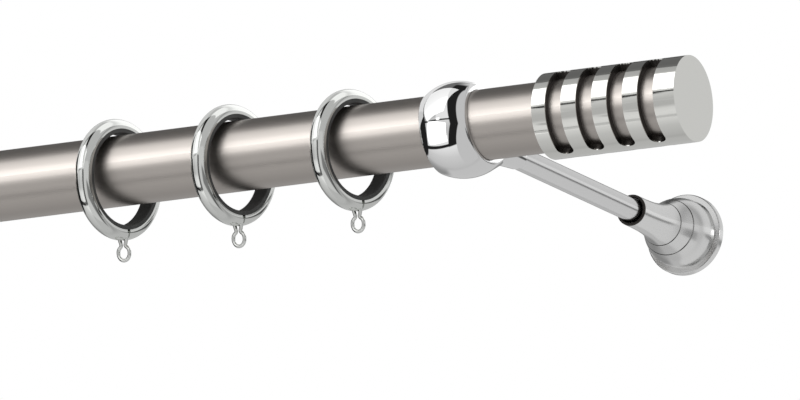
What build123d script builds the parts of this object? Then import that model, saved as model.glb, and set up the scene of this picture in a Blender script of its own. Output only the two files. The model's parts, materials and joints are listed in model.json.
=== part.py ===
from build123d import *
import math
import os

# A 28 mm curtain rod with a slotted barrel finial, three lined rings with wire eyes,
# and a wall bracket of a ball-shaped cup, a round stem and a trumpet-shaped wall cover.
# Millimetres. The origin is the centre of the wall plate's back face, on the stem's axis.
# +X runs along the rod towards the finial, +Y into the wall, and +Z up.

# Rod
rod_diameter = 28.0
rod_wall = 1.2
projection = 196.0
rod_rise = 1.2
rod_cut_end = 235.0
rod_end_gap = 0.2

# Barrel finial, a closed sleeve over the rod's end with four milled slots on each side
barrel_start = 39.9
barrel_length = 62.1
barrel_wall = 2.95
barrel_end_wall = 5.0
sleeve_clearance = 0.05
first_band = 5.9
slot_width = 6.9
slot_pitch = 13.4
slot_count = 4
slot_half_angle = 79.0
barrel_chamfer = 0.3
barrel_screw_diameter = 3.0

# Rings
ring_positions = (-151.8, -100.4, -47.5)
ring_diameter = 48.1
ring_wall = 5.85
ring_width = 7.0
ring_side_flat = 0.6
liner_thickness = 1.8
liner_setback = 0.1
liner_chamfer = 0.3
liner_fit = 0.02
ring_hang_gap = 0.75
ring_yaw = 12.6
ring_lean = 3.7
ring_swing = 11.0

# Wire eye at the foot of each ring, held in the ring's slit
eye_wire = 1.5
eye_loop_radius = 2.85
eye_drop = 5.05
eye_throat_drop = 2.15
eye_throat_half = 0.9
eye_shoulder_rise = 1.6
eye_leg_spread = 2.6
eye_leg_depth = 3.0
throat_bend = 1.0
shoulder_bend = 2.4
slit_clearance = 0.05

# Cup, a ball with milled flats, a bore for the rod and a tapering tail
cup_ball_diameter = 38.0
ball_drop = 0.5
cup_width = 20.8
cup_turn = 6.0
cup_clearance = 0.15
cup_edge_round = 1.5
tail_bulge = 31.7
tail_taper = 26.2
tail_end_diameter = 13.4
neck_root_diameter = 12.8
neck_step = 0.4
neck_length = 14.8
neck_overlap = 2.0
cup_screw_diameter = 4.0
cup_screw_angle = 40.0

# Stem
stem_diameter = 9.3
stem_chamfer = 0.3
spigot_diameter = 6.0
spigot_length = 14.0
spigot_clearance = 0.05
socket_end_gap = 1.0

# Wall plate
plate_thickness = 2.5
plate_edge = 0.2
boss_wall = 2.8
boss_length = 14.0
boss_clearance = 0.05
wall_hole_diameter = 4.2
wall_hole_head = 7.2
wall_hole_gap = 0.1
head_angle = 90.0
stem_screw_diameter = 4.0
stem_screw_height = 12.0

# Trumpet-shaped wall cover
cover_length = 49.5
cover_rim = 3.3
cover_rim_wall = 1.2
cover_rim_round = 0.5
cover_rim_step = 2.3
cover_rim_slope = 0.4
cover_mouth_gap = 0.5
cover_lip_wall = 1.2
cover_lip_round = 0.5
cover_waist_height = 37.0
cover_waist_diameter = 13.0
cover_flare_height = 22.6
cover_flare_diameter = 17.4
cover_shoulder_height = 16.4
cover_shoulder_diameter = 22.4
cover_seat_gap = 0.1
cover_seat_clearance = 0.1
cover_bore_end = 31.0
cover_cavity_diameter = 24.4
groove_width = 0.5
groove_depth = 0.4

# Grub screws
screw_clearance = 0.03
screw_sunk = 0.3
screw_tip_gap = 0.05
hex_share = 0.5
hex_depth = 1.2

# Places worked out from the sizes above
rod_radius = rod_diameter / 2
rod_centre = Vector(0, -projection, rod_rise)
rod_axis = Axis(rod_centre, (1, 0, 0))
sleeve_radius = rod_radius + sleeve_clearance
barrel_radius = sleeve_radius + barrel_wall
barrel_end = barrel_start + barrel_length
rod_finial_end = barrel_end - barrel_end_wall - rod_end_gap
screw_tip = rod_radius + screw_tip_gap
past = 1.0

os.makedirs("parts", exist_ok=True)


def rod_plane(along):
    """Plane square to the rod, centred on its axis at this place along X."""
    return Plane(origin=(along, -projection, rod_rise), x_dir=(0, -1, 0), z_dir=(1, 0, 0))


def radial_plane(along, angle):
    """Plane whose normal points out of the rod, at an angle from the room side towards the top."""
    outward = Vector(0, -1, 0).rotate(Axis.X, -angle)
    return Plane(origin=(along, -projection, rod_rise), x_dir=(1, 0, 0), z_dir=outward)


def grub_screw(seat, diameter, start, end):
    """Headless screw along the seat's normal, with a hexagon socket in its outer end."""
    with BuildPart() as screw:
        with BuildSketch(seat.offset(start)):
            Circle(diameter / 2)
        extrude(amount=end - start)
        with BuildSketch(seat.offset(end)):
            RegularPolygon(radius=diameter / 2 * hex_share, side_count=6, major_radius=False)
        extrude(amount=-hex_depth, mode=Mode.SUBTRACT)
    return screw.part


def surface_place(outline, height):
    """Place on a turned outline at this height above the wall, turned to face off its surface."""
    low, high = 0.0, 1.0
    for _ in range(40):
        middle = (low + high) / 2
        if (outline @ middle).Y < -height:
            low = middle
        else:
            high = middle
    slope = (outline % low).get_angle(Vector(0, 1, 0))
    return Location(outline @ low, (0, 0, -slope))


# Rod, a plain tube with a square-cut open end away from the finial
with BuildPart() as rod_tube:
    with BuildSketch(rod_plane(-rod_cut_end)):
        Circle(rod_radius)
        Circle(rod_radius - rod_wall, mode=Mode.SUBTRACT)
    extrude(amount=rod_cut_end + rod_finial_end)
rod_tube.part.label = "rod_tube"
export_step(rod_tube.part, "parts/rod_tube.step")

# Barrel finial: each slot is a curved trench through the wall with round ends,
# and the webs left at the top and bottom join the bands
slot_end_radius = slot_width / 2
slot_end_angle = slot_half_angle - math.degrees(slot_end_radius / barrel_radius)
slot_middles = [barrel_start + first_band + slot_end_radius + n * slot_pitch for n in range(slot_count)]
barrel_screw_along = barrel_start + first_band / 2
barrel_screw_seat = radial_plane(barrel_screw_along, 180)
with BuildPart() as finial_barrel:
    with BuildSketch(rod_plane(barrel_start)):
        Circle(barrel_radius)
    extrude(amount=barrel_length)
    chamfer(finial_barrel.edges().filter_by(GeomType.CIRCLE), barrel_chamfer)
    with BuildSketch(rod_plane(barrel_start)):
        Circle(sleeve_radius)
    extrude(amount=barrel_length - barrel_end_wall, mode=Mode.SUBTRACT)
    for middle in slot_middles:
        for side in (0, 180):
            with BuildSketch(radial_plane(middle, side + slot_end_angle)):
                Circle(slot_end_radius)
            extrude(amount=barrel_radius + past, mode=Mode.SUBTRACT)
            with BuildSketch(radial_plane(middle, side - slot_end_angle)):
                Circle(slot_end_radius)
            extrude(amount=barrel_radius + past, mode=Mode.SUBTRACT)
            start = radial_plane(middle, side - slot_end_angle)
            trench = Plane(origin=start.origin, x_dir=(1, 0, 0), z_dir=start.z_dir.cross(Vector(1, 0, 0)))
            with BuildSketch(trench):
                with Locations((0, barrel_radius)):
                    Rectangle(slot_width, 2 * (barrel_radius - sleeve_radius + past))
            revolve(axis=rod_axis, revolution_arc=-2 * slot_end_angle, mode=Mode.SUBTRACT)
    with BuildSketch(barrel_screw_seat):
        Circle(barrel_screw_diameter / 2 + screw_clearance)
    extrude(amount=barrel_radius + past, mode=Mode.SUBTRACT)
finial_barrel.part.label = "finial_barrel"
export_step(finial_barrel.part, "parts/finial_barrel.step")

with BuildPart() as finial_grub_screw:
    add(grub_screw(barrel_screw_seat, barrel_screw_diameter, screw_tip, barrel_radius - screw_sunk))
finial_grub_screw.part.label = "finial_grub_screw"
export_step(finial_grub_screw.part, "parts/finial_grub_screw.step")

# Rings: each hangs by its liner on the rod, turned and leaning a little as it was left
ring_radius = ring_diameter / 2
ring_bore_radius = ring_radius - ring_wall
shell_bore_radius = ring_bore_radius + liner_thickness + liner_fit
ring_drop = ring_bore_radius - rod_radius - ring_hang_gap
ring_normal = Vector(1, 0, 0).rotate(Axis.Y, ring_lean).rotate(Axis.Z, -ring_yaw)
eye_hang = Vector(0, 0, -1).rotate(Axis.X, ring_swing)
eye_direction = eye_hang.rotate(Axis.Y, ring_lean).rotate(Axis.Z, -ring_yaw)
crown_height = ring_radius - shell_bore_radius - ring_side_flat
slit_width = eye_wire + 2 * slit_clearance
eye_middle = ring_radius + eye_drop
eye_foot = eye_middle + eye_loop_radius
eye_shoulder = eye_middle - eye_shoulder_rise
eye_throat = ring_radius + eye_throat_drop
eye_leg_end = ring_radius - eye_leg_depth

for number, along in enumerate(ring_positions, start=1):
    ring_centre = rod_centre + Vector(along, 0, -ring_drop)
    ring_axis = Axis(ring_centre, ring_normal)
    section = Plane(origin=ring_centre, x_dir=eye_direction, z_dir=eye_direction.cross(ring_normal))

    with BuildPart() as ring_shell:
        with BuildSketch(section):
            with BuildLine():
                crown = EllipticalCenterArc(
                    (shell_bore_radius + ring_side_flat, 0),
                    crown_height,
                    ring_width / 2,
                    start_angle=-90,
                    arc_size=180,
                )
                Polyline(
                    crown @ 1,
                    (shell_bore_radius, ring_width / 2),
                    (shell_bore_radius, -ring_width / 2),
                    crown @ 0,
                )
            make_face()
        revolve(axis=ring_axis)
        with BuildSketch(section):
            with Locations(((shell_bore_radius + ring_radius) / 2, 0)):
                Rectangle(ring_radius - shell_bore_radius + 2 * past, ring_width + 2 * past)
        extrude(amount=slit_width / 2, both=True, mode=Mode.SUBTRACT)
    ring_shell.part.label = f"ring_shell_{number}"
    export_step(ring_shell.part, f"parts/ring_shell_{number}.step")

    with BuildPart() as ring_liner:
        with BuildSketch(section):
            with Locations((ring_bore_radius + liner_thickness / 2, 0)):
                Rectangle(liner_thickness, ring_width - 2 * liner_setback)
        revolve(axis=ring_axis)
        chamfer(ring_liner.edges().filter_by(GeomType.CIRCLE).sort_by(SortBy.RADIUS)[:2], liner_chamfer)
    ring_liner.part.label = f"ring_liner_{number}"
    export_step(ring_liner.part, f"parts/ring_liner_{number}.step")

    with BuildPart() as ring_eye:
        with BuildLine(section) as wire:
            rear = FilletPolyline(
                (eye_leg_end, -eye_leg_spread),
                (eye_throat, -eye_throat_half),
                (eye_shoulder, -eye_loop_radius),
                (eye_middle, -eye_loop_radius),
                radius=[throat_bend, shoulder_bend],
            )
            loop = ThreePointArc(rear @ 1, (eye_foot, 0), (eye_middle, eye_loop_radius))
            FilletPolyline(
                loop @ 1,
                (eye_shoulder, eye_loop_radius),
                (eye_throat, eye_throat_half),
                (eye_leg_end, eye_leg_spread),
                radius=[shoulder_bend, throat_bend],
            )
        with BuildSketch(Plane(origin=wire.line @ 0, z_dir=wire.line % 0)):
            Circle(eye_wire / 2)
        sweep()
    ring_eye.part.label = f"ring_eye_{number}"
    export_step(ring_eye.part, f"parts/ring_eye_{number}.step")

# Cup: turned about the stem's axis, then flattened on both sides and bored for the rod
cup_bore_radius = rod_radius + cup_clearance
ball_radius = cup_ball_diameter / 2
rod_y = -projection
tail_slope = math.tan(math.radians(tail_taper))
bulge_end_radius = ball_radius - tail_bulge * (1 - math.cos(math.radians(tail_taper)))
bulge_end_reach = tail_bulge * math.sin(math.radians(tail_taper))
tail_reach = bulge_end_reach + (bulge_end_radius - tail_end_diameter / 2) / tail_slope
neck_root_y = rod_y + tail_reach
neck_end_y = neck_root_y + neck_length
neck_end_diameter = stem_diameter + 2 * neck_step
ball_centre = Vector(0, rod_y, rod_rise - ball_drop)
tail_line = Vector(0, neck_root_y, 0) - ball_centre
tail_plane = Plane(origin=ball_centre, x_dir=(1, 0, 0), z_dir=Vector(1, 0, 0).cross(tail_line))
side_normal = Vector(math.cos(math.radians(cup_turn)), 0, math.sin(math.radians(cup_turn)))
cup_side_plane = Plane(origin=ball_centre, x_dir=(0, 1, 0), z_dir=side_normal)
cup_screw_seat = radial_plane(0, 90 + cup_screw_angle)
with BuildPart() as cup_bracket:
    with BuildSketch(tail_plane):
        with BuildLine():
            ball = CenterArc((0, 0), ball_radius, -90, 90)
            bulge = CenterArc((ball_radius - tail_bulge, 0), tail_bulge, 0, tail_taper)
            Polyline(bulge @ 1, (tail_end_diameter / 2, tail_reach), (0, tail_reach), ball @ 0)
        make_face()
    revolve(axis=Axis(ball_centre, tail_plane.y_dir))
    with BuildSketch(cup_side_plane):
        Rectangle(2 * projection, 4 * ball_radius)
    extrude(amount=cup_width / 2, both=True, mode=Mode.INTERSECT)
    fillet(cup_bracket.faces().filter_by(Axis(ball_centre, side_normal)).edges(), cup_edge_round)
    with BuildSketch(Plane.XY):
        with BuildLine():
            Polyline(
                (0, neck_root_y - neck_overlap),
                (neck_root_diameter / 2, neck_root_y - neck_overlap),
                (neck_root_diameter / 2, neck_root_y),
                (neck_end_diameter / 2, neck_end_y),
                (0, neck_end_y),
                close=True,
            )
        make_face()
    revolve(axis=Axis.Y)
    with BuildSketch(rod_plane(-cup_width)):
        Circle(cup_bore_radius)
    extrude(amount=2 * cup_width, mode=Mode.SUBTRACT)
    with BuildSketch(Plane.XZ.offset(-neck_end_y)):
        Circle(spigot_diameter / 2 + spigot_clearance)
    extrude(amount=spigot_length + socket_end_gap, mode=Mode.SUBTRACT)
    with BuildSketch(cup_screw_seat):
        Circle(cup_screw_diameter / 2 + screw_clearance)
    extrude(amount=projection / 2, mode=Mode.SUBTRACT)
cup_bracket.part.label = "cup_bracket"
export_step(cup_bracket.part, "parts/cup_bracket.step")

with BuildPart() as cup_grub_screw:
    add(grub_screw(cup_screw_seat, cup_screw_diameter, screw_tip, ball_radius - screw_sunk))
cup_grub_screw.part.label = "cup_grub_screw"
export_step(cup_grub_screw.part, "parts/cup_grub_screw.step")

# Stem: a round bar with a turned-down spigot in the cup's neck and its other end in the boss
stem_end_y = -plate_thickness
with BuildPart() as stem:
    with BuildSketch(Plane.XZ.offset(-stem_end_y)):
        Circle(stem_diameter / 2)
    extrude(amount=stem_end_y - neck_end_y)
    chamfer(stem.edges().group_by(Axis.Y)[-1], stem_chamfer)
    with BuildSketch(Plane.XZ.offset(-neck_end_y)):
        Circle(spigot_diameter / 2)
    extrude(amount=spigot_length)
    chamfer(stem.edges().group_by(Axis.Y)[0], stem_chamfer)
stem.part.label = "stem"
export_step(stem.part, "parts/stem.step")

# Wall plate: a disc with a boss that holds the stem's end, and two countersunk screw holes
boss_diameter = stem_diameter + 2 * (boss_clearance + boss_wall)
wall_hole_spacing = boss_diameter + wall_hole_head + 2 * wall_hole_gap
plate_diameter = wall_hole_spacing + wall_hole_head + 2 * plate_edge
stem_screw_seat = Plane(origin=(0, -stem_screw_height, 0), x_dir=(1, 0, 0), z_dir=(0, 0, -1))
with BuildPart() as wall_plate:
    with BuildSketch(Plane.XZ):
        Circle(plate_diameter / 2)
    extrude(amount=plate_thickness)
    with BuildSketch(Plane.XZ.offset(plate_thickness)):
        Circle(boss_diameter / 2)
    extrude(amount=boss_length)
    with BuildSketch(Plane.XZ.offset(plate_thickness)):
        Circle(stem_diameter / 2 + boss_clearance)
    extrude(amount=boss_length, mode=Mode.SUBTRACT)
    with Locations(Plane.XZ.offset(plate_thickness)):
        with GridLocations(0, wall_hole_spacing, 1, 2):
            CounterSinkHole(wall_hole_diameter / 2, wall_hole_head / 2, counter_sink_angle=head_angle)
    with BuildSketch(stem_screw_seat):
        Circle(stem_screw_diameter / 2 + screw_clearance)
    extrude(amount=boss_diameter, mode=Mode.SUBTRACT)
wall_plate.part.label = "wall_plate"
export_step(wall_plate.part, "parts/wall_plate.step")

with BuildPart() as stem_grub_screw:
    stem_screw_tip = stem_diameter / 2 + screw_tip_gap
    add(grub_screw(stem_screw_seat, stem_screw_diameter, stem_screw_tip, boss_diameter / 2 - screw_sunk))
stem_grub_screw.part.label = "stem_grub_screw"
export_step(stem_grub_screw.part, "parts/stem_grub_screw.step")

# Wall cover: turned from the mouth to the rim, hollow, with a seat round the wall plate
seat_radius = plate_diameter / 2 + cover_seat_clearance
seat_depth = plate_thickness + cover_seat_gap
cover_radius = seat_radius + cover_rim_wall
mouth_bore_radius = stem_diameter / 2 + cover_mouth_gap
with BuildPart() as wall_cover:
    with BuildSketch(Plane.XY):
        with BuildLine():
            mouth_inner = (mouth_bore_radius, -cover_length)
            mouth = Line(mouth_inner, (mouth_bore_radius + cover_lip_wall, -cover_length))
            flare = Spline(
                mouth @ 1,
                (cover_waist_diameter / 2, -cover_waist_height),
                (cover_flare_diameter / 2, -cover_flare_height),
                (cover_shoulder_diameter / 2, -cover_shoulder_height),
                (cover_radius - cover_rim_step, -cover_rim - cover_rim_slope),
                tangents=[(0, 1), (0, 1)],
            )
            Polyline(
                flare @ 1,
                (cover_radius, -cover_rim),
                (cover_radius, 0),
                (seat_radius, 0),
                (seat_radius, -seat_depth),
                (cover_cavity_diameter / 2, -seat_depth),
                (mouth_bore_radius, -cover_bore_end),
                mouth @ 0,
            )
        make_face()
    revolve(axis=Axis.Y)
    fillet(wall_cover.edges().group_by(Axis.Y)[0], cover_lip_round)
    fillet(wall_cover.edges().filter_by(GeomType.CIRCLE).sort_by(SortBy.RADIUS)[-2:], cover_rim_round)
    for height in (cover_flare_height, cover_shoulder_height):
        with BuildSketch(Plane.XY):
            with Locations(surface_place(flare, height)):
                Rectangle(2 * groove_depth, groove_width)
        revolve(axis=Axis.Y, mode=Mode.SUBTRACT)
wall_cover.part.label = "wall_cover"
export_step(wall_cover.part, "parts/wall_cover.step")
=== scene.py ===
"""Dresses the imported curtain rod: its metals, its liners, its fine edges, a studio and the camera."""

import json
import logging
import math
from dataclasses import dataclass
from enum import Enum
from typing import Any, Optional, Union

import bpy
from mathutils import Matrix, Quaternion, Vector

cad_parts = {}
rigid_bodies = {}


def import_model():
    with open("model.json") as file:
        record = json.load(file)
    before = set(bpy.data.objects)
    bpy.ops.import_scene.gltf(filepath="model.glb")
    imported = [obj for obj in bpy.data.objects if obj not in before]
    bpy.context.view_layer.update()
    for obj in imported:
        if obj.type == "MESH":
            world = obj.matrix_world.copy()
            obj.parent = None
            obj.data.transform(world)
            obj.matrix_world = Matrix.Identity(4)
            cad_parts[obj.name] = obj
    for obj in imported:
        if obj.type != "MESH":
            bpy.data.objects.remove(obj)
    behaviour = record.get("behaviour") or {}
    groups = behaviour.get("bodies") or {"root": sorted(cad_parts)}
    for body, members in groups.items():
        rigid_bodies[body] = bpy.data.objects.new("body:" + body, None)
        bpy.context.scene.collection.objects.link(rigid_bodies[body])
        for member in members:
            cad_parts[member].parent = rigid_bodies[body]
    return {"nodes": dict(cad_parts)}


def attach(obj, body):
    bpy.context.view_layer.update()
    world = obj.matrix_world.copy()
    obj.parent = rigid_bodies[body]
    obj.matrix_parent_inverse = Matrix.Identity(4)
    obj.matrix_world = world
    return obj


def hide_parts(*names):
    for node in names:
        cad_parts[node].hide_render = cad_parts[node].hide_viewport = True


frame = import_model()
log = logging.getLogger("curtain_rod")

MM = 0.001
# The rod's axis: its Y and Z in millimetres, and the point of it at the bracket in metres
ROD_AXIS = (-196.0, 1.2)
ROD_POINT = (0.0, -0.196, 0.0012)
Colour = tuple[float, float, float]
Number = Union[int, float]


def bearing(azimuth: float, elevation: float) -> Vector:
    """The direction from the object to a place round it.

    Args:
        azimuth: degrees round the object from the room side.
        elevation: degrees above the horizon.

    Returns:
        A vector of length 1.
    """
    turn, tilt = math.radians(azimuth), math.radians(elevation)
    return Vector((math.sin(turn) * math.cos(tilt), -math.cos(turn) * math.cos(tilt), math.sin(tilt)))


def area_lamp(name: str, wide: float, tall: float, energy: float) -> bpy.types.Object:
    """Adds a rectangular lamp to the scene.

    Args:
        name: the lamp's name.
        wide: its width in metres.
        tall: its height in metres.
        energy: its power in watts.

    Returns:
        The lamp, still at the origin.
    """
    light = bpy.data.lights.new(name, "AREA")
    light.shape = "RECTANGLE"
    light.size = wide
    light.size_y = tall
    light.energy = energy
    lamp = bpy.data.objects.new(name, light)
    bpy.context.scene.collection.objects.link(lamp)
    return lamp


class Grain(Enum):
    """Which way the polishing or brushing marks of a metal run."""

    ALONG_ROD = "x"
    ALONG_STEM = "y"
    ROUND_STEM = "turned"
    NONE = "none"


class Shade:
    """A number socket that takes part in Python expressions, each operator adding its Math node."""

    def __init__(self, bench: "Bench", socket: bpy.types.NodeSocket) -> None:
        """Wraps a socket.

        Args:
            bench: the bench that adds nodes to the socket's tree.
            socket: an output socket that carries one number.
        """
        self.bench = bench
        self.socket = socket

    def math(self, operation: str, *others: Union["Shade", Number]) -> "Shade":
        """Adds a Math node with this socket first.

        Args:
            operation: the Math node's operation.
            others: the node's other values or sockets.

        Returns:
            The node's result.
        """
        return self.bench.math(operation, self, *others)

    def __add__(self, other: Union["Shade", Number]) -> "Shade":
        """The sum."""
        return self.math("ADD", other)

    __radd__ = __add__

    def __sub__(self, other: Union["Shade", Number]) -> "Shade":
        """The difference."""
        return self.math("SUBTRACT", other)

    def __rsub__(self, other: Number) -> "Shade":
        """The difference, taken from a number."""
        return self.bench.math("SUBTRACT", other, self)

    def __mul__(self, other: Union["Shade", Number]) -> "Shade":
        """The product."""
        return self.math("MULTIPLY", other)

    def __neg__(self) -> "Shade":
        """The negative."""
        return self * -1.0

    def blend(self, other: Union["Shade", Number], share: "Shade") -> "Shade":
        """This value moved towards another.

        Args:
            other: the value at a share of 1.
            share: how far it moves, from 0 to 1.

        Returns:
            The value between them.
        """
        return self + (other - self) * share

    def rise(self, low: float, high: float) -> "Shade":
        """A smooth step of this value.

        Args:
            low: where the step leaves 0.
            high: where it reaches 1, which may lie below low.

        Returns:
            A value from 0 to 1.
        """
        inputs = {"Value": self, "From Min": low, "From Max": high}
        node = self.bench.node("ShaderNodeMapRange", {"interpolation_type": "SMOOTHSTEP"}, inputs)
        return Shade(self.bench, node.outputs["Result"])

    def band(self, low: float, high: float, soft: float) -> "Shade":
        """1 between two values and 0 outside them, with soft ends.

        Args:
            low: the lower edge.
            high: the upper edge.
            soft: the width of each end's fade.

        Returns:
            A value from 0 to 1.
        """
        half = soft / 2
        return self.rise(low - half, low + half) * self.rise(high + half, high - half)


class Bench:
    """Adds nodes to the tree of one material or of the world."""

    def __init__(self, tree: bpy.types.NodeTree) -> None:
        """Clears the tree.

        Args:
            tree: the node tree to fill.
        """
        self.tree = tree
        tree.nodes.clear()

    def node(
        self,
        kind: str,
        settings: Optional[dict[str, Any]] = None,
        inputs: Optional[dict[Union[str, int], Any]] = None,
    ) -> bpy.types.Node:
        """Adds one node.

        Args:
            kind: the node's type.
            settings: its settings, and for a colour ramp its stops, which are set first.
            inputs: values or links for its sockets, by name or number.

        Returns:
            The new node.
        """
        made = self.tree.nodes.new(kind)
        for name, value in (settings or {}).items():
            if name == "stops":
                self._set_stops(made.color_ramp, value)
            else:
                setattr(made, name, value)
        for key, value in (inputs or {}).items():
            self._feed(made.inputs[key], value)
        return made

    def math(self, operation: str, *values: Union[Shade, Number]) -> Shade:
        """Adds a Math node.

        Args:
            operation: the node's operation.
            values: its values or sockets, in order.

        Returns:
            The node's result.
        """
        made = self.node("ShaderNodeMath", {"operation": operation}, dict(enumerate(values)))
        return Shade(self, made.outputs[0])

    def noise(self, place: bpy.types.NodeSocket, fineness: float, detail: float) -> Shade:
        """Adds a cloud of noise.

        Args:
            place: the coordinates that it is laid out in.
            fineness: its scale.
            detail: how many finer clouds it carries.

        Returns:
            A value from 0 to 1.
        """
        inputs = {"Vector": place, "Scale": fineness, "Detail": detail}
        return Shade(self, self.node("ShaderNodeTexNoise", None, inputs).outputs["Fac"])

    def mix(self, share: Shade, low: Any, high: Any) -> bpy.types.NodeSocket:
        """Mixes two colours.

        Args:
            share: how much of the second colour there is.
            low: the first colour, as four numbers or a link.
            high: the second colour.

        Returns:
            The mixed colour.
        """
        return self.node("ShaderNodeMix", {"data_type": "RGBA"}, {0: share, 6: low, 7: high}).outputs[2]

    def surface(self, inputs: dict[str, Any]) -> None:
        """Ends a material with its surface shader.

        Args:
            inputs: values or links for the shader's sockets.
        """
        shader = self.node("ShaderNodeBsdfPrincipled", None, inputs)
        self.node("ShaderNodeOutputMaterial", None, {"Surface": shader.outputs[0]})

    def _feed(self, socket: bpy.types.NodeSocket, value: Any) -> None:
        """Links a socket, or sets its value."""
        if isinstance(value, Shade):
            value = value.socket
        if isinstance(value, bpy.types.NodeSocket):
            self.tree.links.new(value, socket)
        else:
            socket.default_value = value

    @staticmethod
    def _set_stops(ramp: bpy.types.ColorRamp, stops: list[tuple[float, float]]) -> None:
        """Gives a colour ramp its grey stops."""
        while len(ramp.elements) > 1:
            ramp.elements.remove(ramp.elements[-1])
        for number, (place, grey) in enumerate(stops):
            element = ramp.elements[0] if number == 0 else ramp.elements.new(place)
            element.position = place
            element.color = (grey, grey, grey, 1.0)


def new_material(name: str) -> tuple[bpy.types.Material, Bench]:
    """Makes an empty material, and the bench for its nodes."""
    material = bpy.data.materials.new(name)
    material.use_nodes = True
    return material, Bench(material.node_tree)


@dataclass(frozen=True)
class PaintedShadeZone:
    """A zone of a piece with painted shade: its colour is painted dark where shade falls, and it is made
    more matt.

    Attributes:
        low: the nearest distance of the zone, in millimetres.
        high: its farthest distance.
        round_rod: whether the distance is taken from the rod's axis, or else from the wall.
        reach: how far along X the zone goes, in millimetres.
        soft: the width of its fading edge.
    """

    low: float
    high: float
    round_rod: bool = False
    reach: float = 1000.0
    soft: float = 0.12

    def share(self, bench: Bench, place: bpy.types.NodeSocket) -> Shade:
        """How much each point belongs to the zone.

        Args:
            bench: the material's bench.
            place: the object's coordinates.

        Returns:
            A value from 0 to 1.
        """
        parts = bench.node("ShaderNodeSeparateXYZ", None, {0: place}).outputs
        x, y, z = (Shade(bench, parts[axis]) * (1.0 / MM) for axis in ("X", "Y", "Z"))
        distance = -y
        if self.round_rod:
            across, up = y - ROD_AXIS[0], z - ROD_AXIS[1]
            distance = bench.math("SQRT", across * across + up * up)
        return distance.band(self.low, self.high, self.soft) * x.rise(self.reach + self.soft, self.reach)


@dataclass(frozen=True)
class Metal:
    """A metal finish: its tint, how matt it is, and the fine marks that its making left.

    Attributes:
        name: the finish's own name.
        tint: the reflected colour.
        roughness: how matt it is on average.
        grain: which way the fine marks run.
        grain_fineness: marks per metre across them.
        grain_depth: how strongly they tilt the surface, from 0 to 1.
        grain_spread: how much they change the roughness.
        smudge: how much handling changes the roughness over a few centimetres.
        tint_change: how much the tint changes with them.
        painted_shades: zones with painted shade, where shade falls in hollows and creases.
        painted_shade_tint: the dark colour painted there as shade.
        painted_shade_roughness: how matt those zones are.
        grain_stretch: how many times longer than wide the marks are.
        grain_detail: how many finer marks they carry.
        smudge_fineness: smudges per metre.
        smudge_detail: how many finer smudges they carry.
        tint_by_grain: the marks' part in the change of tint, from 0 to 1, which leaves the smudges the rest.
        bump_height: how high the marks stand, in metres.
    """

    name: str
    tint: Colour
    roughness: float
    grain: Grain = Grain.NONE
    grain_fineness: float = 9000.0
    grain_depth: float = 0.0
    grain_spread: float = 0.03
    smudge: float = 0.02
    tint_change: float = 0.03
    painted_shades: tuple[PaintedShadeZone, ...] = ()
    painted_shade_tint: Colour = (0.07, 0.064, 0.06)
    painted_shade_roughness: float = 0.45
    grain_stretch: float = 120.0
    grain_detail: float = 3.0
    smudge_fineness: float = 38.0
    smudge_detail: float = 4.0
    tint_by_grain: float = 0.6
    bump_height: float = 0.00002

    def build(self) -> bpy.types.Material:
        """Makes the material.

        Returns:
            A material for metal nodes and pieces.
        """
        material, bench = new_material(self.name)
        place = bench.node("ShaderNodeTexCoord").outputs["Object"]
        marks = self._marks(bench, place)
        smudges = bench.noise(place, self.smudge_fineness, self.smudge_detail)
        rough = marks * self.grain_spread + smudges * self.smudge
        rough = rough + (self.roughness - (self.grain_spread + self.smudge) / 2)
        dark = [channel * (1.0 - self.tint_change) for channel in self.tint]
        lightness = marks * self.tint_by_grain + smudges * (1.0 - self.tint_by_grain)
        colour = bench.mix(lightness, (*dark, 1.0), (*self.tint, 1.0))
        # Painted shade: each zone's colour is painted dark where shade falls, and its roughness raised
        for shade_zone in self.painted_shades:
            share = shade_zone.share(bench, place)
            rough = rough.blend(self.painted_shade_roughness, share)
            colour = bench.mix(share, colour, (*self.painted_shade_tint, 1.0))
        inputs = {"Base Color": colour, "Metallic": 1.0, "Roughness": rough}
        if self.grain_depth > 0.0:
            relief = {"Strength": self.grain_depth, "Distance": self.bump_height, "Height": marks}
            inputs["Normal"] = bench.node("ShaderNodeBump", None, relief).outputs["Normal"]
        bench.surface(inputs)
        return material

    def _marks(self, bench: Bench, place: bpy.types.NodeSocket) -> Shade:
        """Fine marks, long along the grain and close across it."""
        fine, long = self.grain_fineness, self.grain_fineness / self.grain_stretch
        scales = {
            Grain.ALONG_ROD: (long, fine, fine),
            Grain.ALONG_STEM: (fine, long, fine),
            Grain.ROUND_STEM: (long, fine, long),
            Grain.NONE: (fine, fine, fine),
        }
        mapping = bench.node("ShaderNodeMapping", None, {"Vector": place, "Scale": scales[self.grain]})
        return bench.noise(mapping.outputs[0], 1.0, self.grain_detail)


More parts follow.
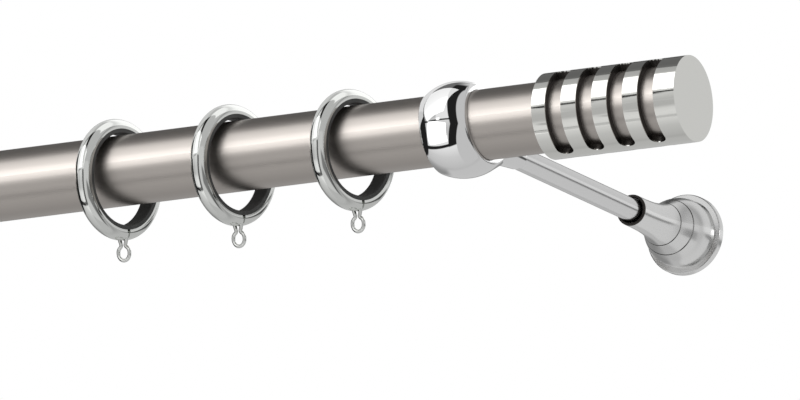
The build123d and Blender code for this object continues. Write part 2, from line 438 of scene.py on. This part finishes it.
@dataclass(frozen=True)
class Liner:
    """The dull grey plastic inside each ring, a little worn where it rubs on the rod.

    Attributes:
        name: the finish's own name.
        fresh: its colour where it is untouched.
        worn: its colour where it has rubbed.
        wear_fineness: worn spots per metre.
        wear_start: the noise at which wear begins.
        wear_end: the noise at which it is complete.
        grain_fineness: grains per metre of the moulded surface.
        grain_depth: how strongly they tilt the surface, from 0 to 1.
        grain_height: how high they stand, in metres.
        roughness: how matt the liner is where it is least worn.
        roughness_change: how much matter it becomes with wear.
    """

    name: str = "liner_grey"
    fresh: Colour = (0.055, 0.056, 0.055)
    worn: Colour = (0.085, 0.086, 0.084)
    wear_fineness: float = 160.0
    wear_start: float = 0.42
    wear_end: float = 0.62
    grain_fineness: float = 2600.0
    grain_depth: float = 0.15
    grain_height: float = 0.00005
    roughness: float = 0.42
    roughness_change: float = 0.16

    def build(self) -> bpy.types.Material:
        """Makes the material.

        Returns:
            A material for the liners.
        """
        material, bench = new_material(self.name)
        place = bench.node("ShaderNodeTexCoord").outputs["Object"]
        wear = bench.noise(place, self.wear_fineness, 5.0)
        grain = bench.noise(place, self.grain_fineness, 2.0)
        shown_wear = wear.rise(self.wear_start, self.wear_end)
        colour = bench.mix(shown_wear, (*self.fresh, 1.0), (*self.worn, 1.0))
        rough = self.roughness + wear * self.roughness_change
        relief = {"Strength": self.grain_depth, "Distance": self.grain_height, "Height": grain}
        normal = bench.node("ShaderNodeBump", None, relief).outputs["Normal"]
        bench.surface({"Base Color": colour, "Roughness": rough, "Normal": normal})
        return material


SATIN_NICKEL = Metal("satin_nickel", (0.50, 0.465, 0.435), 0.36, Grain.ALONG_ROD, 7000.0, 0.05, 0.05, 0.03)
# Painted shade on the barrel's slot walls, slot ends and bore, inside 16.55 mm from the rod's axis
SLOT_WALL_SHADE = (PaintedShadeZone(10.0, 16.55, round_rod=True, reach=98.0),)
POLISHED_NICKEL = Metal(
    "polished_nickel",
    (0.76, 0.76, 0.73),
    0.07,
    Grain.ALONG_ROD,
    9000.0,
    0.02,
    0.03,
    0.03,
    painted_shades=SLOT_WALL_SHADE,
)
RING_NICKEL = Metal("ring_nickel", (0.78, 0.79, 0.77), 0.08, Grain.NONE, 3000.0, 0.0, 0.03, 0.04)
BRIGHT_CHROME = Metal("bright_chrome", (0.90, 0.90, 0.90), 0.035, Grain.NONE, 3000.0, 0.0, 0.01, 0.02, 0.01)
SATIN_STEM = Metal("satin_stem", (0.72, 0.72, 0.72), 0.16, Grain.ALONG_STEM, 9000.0, 0.05, 0.05, 0.03)
# Painted shade at the cover's mouth round the stem and in its two grooves
MOUTH_AND_GROOVE_SHADE = (PaintedShadeZone(48.85, 60.0), PaintedShadeZone(22.35, 22.85), PaintedShadeZone(16.15, 16.65))
BRUSHED_COVER = Metal(
    "brushed_cover",
    (0.78, 0.78, 0.775),
    0.2,
    Grain.ROUND_STEM,
    9000.0,
    0.12,
    0.06,
    0.03,
    painted_shades=MOUTH_AND_GROOVE_SHADE,
)
ZINC_STEEL = Metal("zinc_steel", (0.55, 0.56, 0.58), 0.34, Grain.NONE, 1200.0, 0.05, 0.08, 0.08)
SCREW_STEEL = Metal("screw_steel", (0.16, 0.16, 0.165), 0.36, Grain.NONE, 4000.0, 0.05, 0.1, 0.1)


class Finishes:
    """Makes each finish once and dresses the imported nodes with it."""

    def __init__(self) -> None:
        """Starts with no material made."""
        self.made: dict[str, bpy.types.Material] = {}

    def get(self, finish: Union[Metal, Liner]) -> bpy.types.Material:
        """The material of a finish, made the first time it is asked for."""
        if finish.name not in self.made:
            self.made[finish.name] = finish.build()
        return self.made[finish.name]

    def dress(self, node: str, finish: Union[Metal, Liner]) -> None:
        """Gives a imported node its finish.

        Args:
            node: the node's name.
            finish: the finish that it takes.
        """
        for slot in frame["nodes"][node].material_slots:
            slot.material = self.get(finish)
        log.info("%s dressed in %s", node, finish.name)


class Shop:
    """The machining steps that modelled pieces share, in millimetres until a piece is finished.

    Attributes:
        edge_angle: degrees between two faces from which their edge is broken.
        edge_segments: how many faces a broken edge has.
        smooth_angle: degrees between two faces up to which they shade as one.
    """

    edge_angle = 40.0
    edge_segments = 2
    smooth_angle = 25.0

    @staticmethod
    def start() -> None:
        """Leaves nothing selected."""
        bpy.ops.object.select_all(action="DESELECT")

    @staticmethod
    def hold(piece: bpy.types.Object) -> None:
        """Leaves one piece selected and active."""
        Shop.start()
        piece.select_set(True)
        bpy.context.view_layer.objects.active = piece

    @staticmethod
    def bar(radius: float, length: float, middle: Vector, along: Vector, sides: int) -> bpy.types.Object:
        """Makes a round bar.

        Args:
            radius: the bar's radius.
            length: its length.
            middle: its middle.
            along: its direction.
            sides: how many flat sides stand for the round.

        Returns:
            The bar, with its place in its mesh.
        """
        Shop.start()
        turn = along.to_track_quat("Z", "X").to_euler()
        bpy.ops.mesh.primitive_cylinder_add(
            vertices=sides, radius=radius, depth=length, location=middle, rotation=turn
        )
        bpy.ops.object.transform_apply(location=True, rotation=True, scale=True)
        return bpy.context.object

    @staticmethod
    def cut(piece: bpy.types.Object, cutter: bpy.types.Object) -> None:
        """Cuts one solid out of a piece and removes the cutter.

        Args:
            piece: the piece that is cut.
            cutter: the solid that is taken away.
        """
        Shop.hold(piece)
        modifier = piece.modifiers.new("cut", "BOOLEAN")
        modifier.operation = "DIFFERENCE"
        modifier.solver = "EXACT"
        modifier.object = cutter
        bpy.ops.object.modifier_apply(modifier="cut")
        bpy.data.objects.remove(cutter)

    @staticmethod
    def finish(piece: bpy.types.Object, edge: float) -> None:
        """Breaks a piece's sharp edges and smooths its rounds.

        Args:
            piece: the piece to finish.
            edge: how wide the broken edges are.
        """
        Shop.hold(piece)
        modifier = piece.modifiers.new("edge", "BEVEL")
        modifier.width = edge
        modifier.segments = Shop.edge_segments
        modifier.limit_method = "ANGLE"
        modifier.angle_limit = math.radians(Shop.edge_angle)
        bpy.ops.object.modifier_apply(modifier="edge")
        piece.scale = (MM, MM, MM)
        bpy.ops.object.transform_apply(location=True, rotation=True, scale=True)
        bpy.ops.object.shade_smooth_by_angle(angle=math.radians(Shop.smooth_angle))


@dataclass
class SlottedBarrel:
    """The finial's sleeve: a closed barrel with four milled slots on each side.

    Attributes:
        finishes: the finishes to take the metal from.
        start: where the barrel starts along the rod.
        length: the barrel's length.
        radius: its outer radius.
        bore: the radius of the bore that takes the rod.
        end_wall: how thick the closed end is.
        edge: how far its sharp edges are broken.
        first_band: the band before the first slot.
        slot_width: each slot's width.
        slot_pitch: the distance from one slot to the next.
        slot_count: how many slots each side has.
        slot_half_angle: how far each slot reaches round the barrel from its middle, in degrees.
        screw_hole: the radius of the hole for the grub screw.
        depth: how long the cutters are that mill through its wall.
        turned_sides: how many flat sides stand for its outer round.
        bore_sides: how many stand for the bore.
        slot_sides: how many stand for the round ends of the slots.
        hole_sides: how many stand for the screw hole.
        sweep_steps: how many steps a slot's cutter takes round the barrel.
        sweep_gap: how much narrower that cutter is than the slot's ends, so that no faces coincide.
        weld: how close two points of a cutter are merged.
    """

    finishes: Finishes
    start: float = 39.9
    length: float = 62.1
    radius: float = 17.0
    bore: float = 14.05
    end_wall: float = 5.0
    edge: float = 0.1
    first_band: float = 5.9
    slot_width: float = 6.9
    slot_pitch: float = 13.4
    slot_count: int = 4
    slot_half_angle: float = 79.0
    screw_hole: float = 1.53
    depth: float = 10.0
    turned_sides: int = 256
    bore_sides: int = 128
    slot_sides: int = 64
    hole_sides: int = 32
    sweep_steps: int = 96
    sweep_gap: float = 0.02
    weld: float = 0.0001

    def build(self) -> None:
        """Turns the barrel, bores it, mills the slots and drills the screw hole."""
        along_rod = Vector((1, 0, 0))
        middle = self._at(self.start + self.length / 2)
        barrel = Shop.bar(self.radius, self.length, middle, along_rod, self.turned_sides)
        bore_length = self.length - self.end_wall + self.slot_width
        bore_middle = self._at(self.start + bore_length / 2 - self.slot_width)
        Shop.cut(barrel, Shop.bar(self.bore, bore_length, bore_middle, along_rod, self.bore_sides))
        for number in range(self.slot_count):
            along = self.start + self.first_band + self.slot_width / 2 + number * self.slot_pitch
            for side in (0.0, math.pi):
                self._mill_slot(barrel, along, side)
        screw_place = self.start + self.first_band / 2
        Shop.cut(barrel, self._radial_bar(self.screw_hole, screw_place, math.pi, self.hole_sides))
        Shop.finish(barrel, self.edge)
        barrel.name = "barrel_sleeve"
        barrel.data.materials.append(self.finishes.get(POLISHED_NICKEL))
        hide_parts("finial_barrel")
        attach(barrel, "bracket_and_rod")
        log.info("barrel_sleeve modelled with %d faces", len(barrel.data.polygons))

    def _at(self, along: float) -> Vector:
        """A point on the rod's axis."""
        return Vector((along, ROD_AXIS[0], ROD_AXIS[1]))

    @staticmethod
    def _outward(turn: float) -> Vector:
        """The direction away from the rod's axis at an angle round it, 0 on the room side."""
        return Vector((0.0, -math.cos(turn), math.sin(turn)))

    def _radial_bar(self, radius: float, along: float, turn: float, sides: int) -> bpy.types.Object:
        """A round bar that points away from the rod's axis, to cut with."""
        outward = self._outward(turn)
        return Shop.bar(radius, self.depth, self._at(along) + outward * self.radius, outward, sides)

    def _mill_slot(self, barrel: bpy.types.Object, along: float, side: float) -> None:
        """Mills one slot with round ends.

        Args:
            barrel: the barrel.
            along: the slot's middle along the rod.
            side: the angle of the slot's middle round the rod, 0 on the room side.
        """
        round_end = self.slot_width / 2
        reach = math.radians(self.slot_half_angle) - round_end / self.radius
        for end in (-reach, reach):
            Shop.cut(barrel, self._radial_bar(round_end, along, side + end, self.slot_sides))
        Shop.start()
        turn = side - reach
        bpy.ops.mesh.primitive_plane_add(
            size=1.0,
            location=self._at(along) + self._outward(turn) * self.radius,
            rotation=(math.pi - turn, 0.0, 0.0),
        )
        trench = bpy.context.object
        trench.scale = (self.slot_width - self.sweep_gap, self.depth, 1.0)
        bpy.ops.object.transform_apply(location=True, rotation=True, scale=True)
        bpy.ops.object.mode_set(mode="EDIT")
        bpy.ops.mesh.select_all(action="SELECT")
        bpy.ops.mesh.spin(
            steps=self.sweep_steps, angle=2 * reach, center=self._at(along), axis=(1.0, 0.0, 0.0)
        )
        bpy.ops.mesh.select_all(action="SELECT")
        bpy.ops.mesh.remove_doubles(threshold=self.weld)
        bpy.ops.mesh.normals_make_consistent(inside=False)
        bpy.ops.object.mode_set(mode="OBJECT")
        Shop.cut(barrel, trench)


@dataclass
class RodAndFinial:
    """The tube and the slotted barrel over its end."""

    finishes: Finishes

    def build(self) -> None:
        """Dresses the tube and the screw, and models the barrel."""
        self.finishes.dress("rod_tube", SATIN_NICKEL)
        self.finishes.dress("finial_barrel", POLISHED_NICKEL)
        SlottedBarrel(self.finishes).build()
        self.finishes.dress("finial_grub_screw", SCREW_STEEL)


@dataclass
class Rings:
    """The three rings with their liners and wire eyes."""

    finishes: Finishes
    count: int = 3

    def build(self) -> None:
        """Dresses each ring."""
        for number in range(1, self.count + 1):
            self.finishes.dress(f"ring_shell_{number}", RING_NICKEL)
            self.finishes.dress(f"ring_liner_{number}", Liner())
            self.finishes.dress(f"ring_eye_{number}", RING_NICKEL)


@dataclass
class Bracket:
    """The cup, the stem and the fixing on the wall."""

    finishes: Finishes

    def build(self) -> None:
        """Dresses the bracket's pieces."""
        self.finishes.dress("cup_bracket", BRIGHT_CHROME)
        self.finishes.dress("cup_grub_screw", SCREW_STEEL)
        self.finishes.dress("stem", SATIN_STEM)
        self.finishes.dress("wall_plate", ZINC_STEEL)
        self.finishes.dress("stem_grub_screw", SCREW_STEEL)
        self.finishes.dress("wall_cover", BRUSHED_COVER)


@dataclass(frozen=True)
class Softbox:
    """A rectangular light far round the object, seen only by the pieces that it is made for.

    Attributes:
        name: the light's name.
        left: degrees to the left of the camera, where its middle is.
        height: degrees above the horizon, where its middle is.
        wide: degrees that it spans sideways.
        tall: degrees that it spans upwards.
        level: how bright it shows in a mirror, where 1 is white.
        pieces: starts of the names of the pieces that it lights.
        roll: degrees that it is turned about the line to the object.
    """

    name: str
    left: float
    height: float
    wide: float
    tall: float
    level: float
    pieces: tuple[str, ...]
    roll: float = 0.0

    def build(self, camera_azimuth: float, middle: Vector, distance: float = 2.0) -> None:
        """Makes the light.

        Args:
            camera_azimuth: the camera's degrees round the object.
            middle: the point that the light faces.
            distance: metres from that point to the light.
        """
        towards = bearing(camera_azimuth - self.left, self.height)
        wide = 2 * distance * math.tan(math.radians(self.wide / 2))
        tall = 2 * distance * math.tan(math.radians(self.tall / 2))
        lamp = area_lamp(self.name, wide, tall, self.level * math.pi * wide * tall)
        lamp.location = middle + towards * distance
        rolled = towards.to_track_quat("Z", "Y") @ Quaternion((0.0, 0.0, 1.0), math.radians(self.roll))
        lamp.rotation_euler = rolled.to_euler()
        lit = bpy.data.collections.new(self.name)
        for piece in bpy.data.objects:
            if piece.type == "MESH" and piece.name.startswith(self.pieces):
                lit.objects.link(piece)
        lamp.light_linking.receiver_collection = lit


@dataclass
class Studio:
    """A plain studio: the surroundings that the metal shows, soft lights and a pale floor.

    Attributes:
        camera_azimuth: the photograph's degrees round the object, from which the lights are placed.
        floor_height: the floor's height in metres.
        floor_size: its width in metres.
        floor_tint: its colour.
        near_level: how bright the room shows close to the camera, where 1 is white.
        corner_level: the same for the white panel at the room's corner.
        upper_level: the same for the wall behind the object, above the rod.
        lower_level: the same for the wall behind the object, below the rod.
        shadow_level: the same for the black panels.
        line_depth: how far the dark line along the stem goes to black, from 0 to 1.
        wedge_depth: how far the dark wedge on the cover does.
        key_place: where the key light stands, in metres.
        key_aim: the point that it faces.
        key_size: its width and height in metres.
        key_power: its power in watts.
    """

    camera_azimuth: float = 27.2
    floor_height: float = -1.3
    floor_size: float = 8.0
    floor_tint: Colour = (0.85, 0.85, 0.85)
    near_level: float = 0.56
    corner_level: float = 0.85
    upper_level: float = 0.72
    lower_level: float = 0.56
    shadow_level: float = 0.015
    line_depth: float = 0.85
    wedge_depth: float = 0.8
    key_place: tuple[float, float, float] = (-1.2, -2.6, 2.2)
    key_aim: tuple[float, float, float] = (0.0, -0.1, 0.0)
    key_size: tuple[float, float] = (2.4, 1.8)
    key_power: float = 60.0

    def build(self) -> None:
        """Makes the surroundings, the lights and the floor."""
        self._surroundings()
        cup, tube, barrel = ("cup_bracket",), ("rod_tube",), ("barrel_sleeve",)
        rings, cover = ("ring_shell", "ring_eye"), ("wall_cover", "stem")
        softboxes = (
            Softbox("cup_front_box", 62.0, -13.8, 52.0, 46.0, 0.8, cup, -12.0),
            Softbox("cup_roof_box", 88.0, 50.0, 50.0, 66.0, 0.8, cup, 42.0),
            Softbox("cup_cap_box", 169.0, 31.0, 120.0, 30.0, 0.62, cup),
            Softbox("rod_strip", 55.5, 34.0, 90.0, 44.0, 0.8, tube),
            Softbox("tube_strip", 55.5, 12.0, 90.0, 24.0, 1.9, tube),
            Softbox("barrel_strip", 58.0, 38.0, 100.0, 40.0, 1.15, barrel),
            Softbox("barrel_top_strip", 72.0, 64.0, 90.0, 14.0, 0.3, barrel),
            Softbox("barrel_fill", 66.0, -46.5, 90.0, 6.0, 0.62, barrel),
            Softbox("ring_strip", 55.5, 31.0, 90.0, 40.0, 0.7, rings),
            Softbox("ring_sky", -164.0, 62.0, 110.0, 70.0, 0.55, rings),
            Softbox("ring_fill", 0.0, -25.0, 120.0, 90.0, 0.12, rings),
            Softbox("cover_fill", -100.0, -30.0, 120.0, 90.0, 0.15, cover),
            Softbox("cover_streak", -36.0, 8.0, 30.0, 12.0, 2.2, cover),
        )
        for softbox in softboxes:
            softbox.build(self.camera_azimuth, Vector(ROD_POINT))
        self._key_light()
        self._floor()

    def _surroundings(self) -> None:
        """White to the camera, and panels round the room to everything else."""
        world = bpy.data.worlds.new("studio")
        bpy.context.scene.world = world
        world.use_nodes = True
        bench = Bench(world.node_tree)
        direction = bench.node("ShaderNodeTexCoord").outputs["Generated"]
        parts = bench.node("ShaderNodeSeparateXYZ", None, {0: direction}).outputs
        level = self._room(bench, *(Shade(bench, parts[axis]) for axis in ("X", "Y", "Z")))
        seen = Shade(bench, bench.node("ShaderNodeLightPath").outputs["Is Camera Ray"])
        inputs = {"Color": (1.0, 1.0, 1.0, 1.0), "Strength": level.blend(1.0, seen)}
        shown = bench.node("ShaderNodeBackground", None, inputs)
        bench.node("ShaderNodeOutputWorld", None, {"Surface": shown.outputs[0]})
        log.info("surroundings made")

    def _room(self, bench: Bench, x: Shade, y: Shade, z: Shade) -> Shade:
        """How bright the room is by direction, as the metal shows it.

        Args:
            bench: the world's bench.
            x: the direction's X.
            y: the direction's Y.
            z: the direction's Z.

        Returns:
            The room's level, where 1 is white.
        """
        level = self._round_the_rod(bench, y, z)
        across = x * 0.96 + y * 0.08 + z.math("ABSOLUTE") * 0.24
        below = z * 0.57 - y * 0.56 - x * 0.12
        front = y.rise(0.45, 0.35)
        level = level.blend(self.near_level, across.rise(0.28, 0.32) * front)
        # The white panel at the corner, then the black ones: beside the camera, under it, at the
        # rod's far end, and between the cup's two light squares
        corner = x.rise(-0.56, -0.5) * across.rise(0.02, 0.0) * z.rise(0.22, 0.24) * y.rise(-0.3, -0.4)
        level = level.blend(self.corner_level, corner)
        beside = across.band(-0.02, 0.3, 0.03) * front * below.rise(-0.12, -0.08)
        under = below.band(-0.09, 0.0, 0.02) * across.rise(0.3, 0.26)
        far_end = x.rise(-0.87, -0.89)
        between = z.band(0.18, 0.235, 0.02) * across.rise(0.1, 0.05) * front
        for shadow in (beside, under, far_end, between):
            level = level.blend(self.shadow_level, shadow)
        # The wall behind the object, with the dark line on the stem and the dark wedge on the cover
        behind = y.rise(0.35, 0.6)
        upper = z.rise(-0.02, 0.03) * x.rise(-0.32, -0.12) * behind
        lower = z.rise(0.02, -0.03) * x.rise(-0.6, -0.5) * behind
        level = level.blend(self.upper_level, upper).blend(self.lower_level, lower)
        line = z.band(-0.13, 0.01, 0.07) * x.rise(0.2, 0.34) * y.rise(0.5, 0.7)
        wedge = z.band(-0.5, -0.08, 0.12) * x.rise(0.5, 0.7) * y.band(-0.6, 0.3, 0.2)
        return level * (1.0 - line * self.line_depth) * (1.0 - wedge * self.wedge_depth)

    def _round_the_rod(self, bench: Bench, y: Shade, z: Shade) -> Shade:
        """Panels by their angle round the rod, from the floor over the room side to the ceiling.

        Args:
            bench: the world's bench.
            y: the direction's Y.
            z: the direction's Z.

        Returns:
            The panels' level.
        """
        turn = bench.math("ARCTAN2", z, -y) * (180.0 / math.pi)
        stops = [
            (-180, 0.30), (-164, 0.27), (-150, 0.28), (-138, 0.33), (-126, 0.42), (-114, 0.54), (-80, 0.64),
            (-56, 0.82), (-40, 0.86), (-30, 0.8), (-22, 0.55), (-8, 0.56), (8, 0.72), (16, 0.74), (21, 0.6),
            (28, 0.4), (60, 0.36), (72, 0.24), (100, 0.15), (130, 0.15), (150, 0.2), (180, 0.30),
        ]
        inputs = {0: (turn + 180.0) * (1.0 / 360.0)}
        settings = {"stops": [((angle + 180) / 360, level) for angle, level in stops]}
        return Shade(bench, bench.node("ShaderNodeValToRGB", settings, inputs).outputs["Color"])

    def _key_light(self) -> None:
        """A large soft light above the room side, which the metal doesn't mirror."""
        lamp = area_lamp("key", *self.key_size, self.key_power)
        lamp.location = self.key_place
        towards = Vector(self.key_aim) - lamp.location
        lamp.rotation_euler = towards.to_track_quat("-Z", "Y").to_euler()
        lamp.visible_glossy = False

    def _floor(self) -> None:
        """A pale floor far below, which only the camera and soft light see."""
        Shop.start()
        bpy.ops.mesh.primitive_plane_add(size=self.floor_size, location=(0, 0, self.floor_height))
        floor = bpy.context.object
        floor.name = "floor"
        material, bench = new_material("pale_floor")
        bench.surface({"Base Color": (*self.floor_tint, 1.0), "Roughness": 0.9})
        floor.data.materials.append(material)
        floor.visible_glossy = False


@dataclass
class PhotoCamera:
    """The camera at the photograph's angle, far off with a long lens.

    Attributes:
        azimuth: degrees round the object from the room side.
        elevation: degrees above the horizon.
        pixels_per_mm: scale of the picture at the object.
        rod_pixel: where the rod's axis passes the bracket, in pixels of the picture.
        picture: the picture's size in pixels.
        distance: metres from the object to the camera.
        sensor: the sensor's width in millimetres.
        clip_end: how many metres the camera sees.
    """

    azimuth: float = 27.71
    elevation: float = -13.78
    pixels_per_mm: float = 2.5614
    rod_pixel: tuple[float, float] = (460.2, 128.0)
    picture: tuple[int, int] = (800, 400)
    distance: float = 7.5
    sensor: float = 36.0
    clip_end: float = 100.0

    def build(self) -> None:
        """Makes the camera and sets it as the scene's."""
        back = bearing(self.azimuth, self.elevation)
        turn = math.radians(self.azimuth)
        right = Vector((math.cos(turn), math.sin(turn), 0.0))
        up = back.cross(right)
        scale = self.pixels_per_mm / MM
        off_right = (self.rod_pixel[0] - self.picture[0] / 2) / scale
        off_up = (self.picture[1] / 2 - self.rod_pixel[1]) / scale
        target = Vector(ROD_POINT) - right * off_right - up * off_up
        data = bpy.data.cameras.new("photo_camera")
        data.sensor_width = self.sensor
        data.lens = scale * self.distance * self.sensor / self.picture[0]
        data.clip_end = self.clip_end
        camera = bpy.data.objects.new("photo_camera", data)
        bpy.context.scene.collection.objects.link(camera)
        camera.location = target + back * self.distance
        camera.rotation_euler = (-back).to_track_quat("-Z", "Y").to_euler()
        bpy.context.scene.camera = camera
        log.info("camera lens %.1f mm", data.lens)


def main() -> None:
    """Builds everything in order."""
    logging.basicConfig(level=logging.INFO, format="%(message)s")
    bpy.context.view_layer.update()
    finishes = Finishes()
    for part in (RodAndFinial(finishes), Rings(finishes), Bracket(finishes), Studio(), PhotoCamera()):
        part.build()
    bpy.context.scene.view_settings.view_transform = "Standard"


if __name__ == "__main__":
    main()
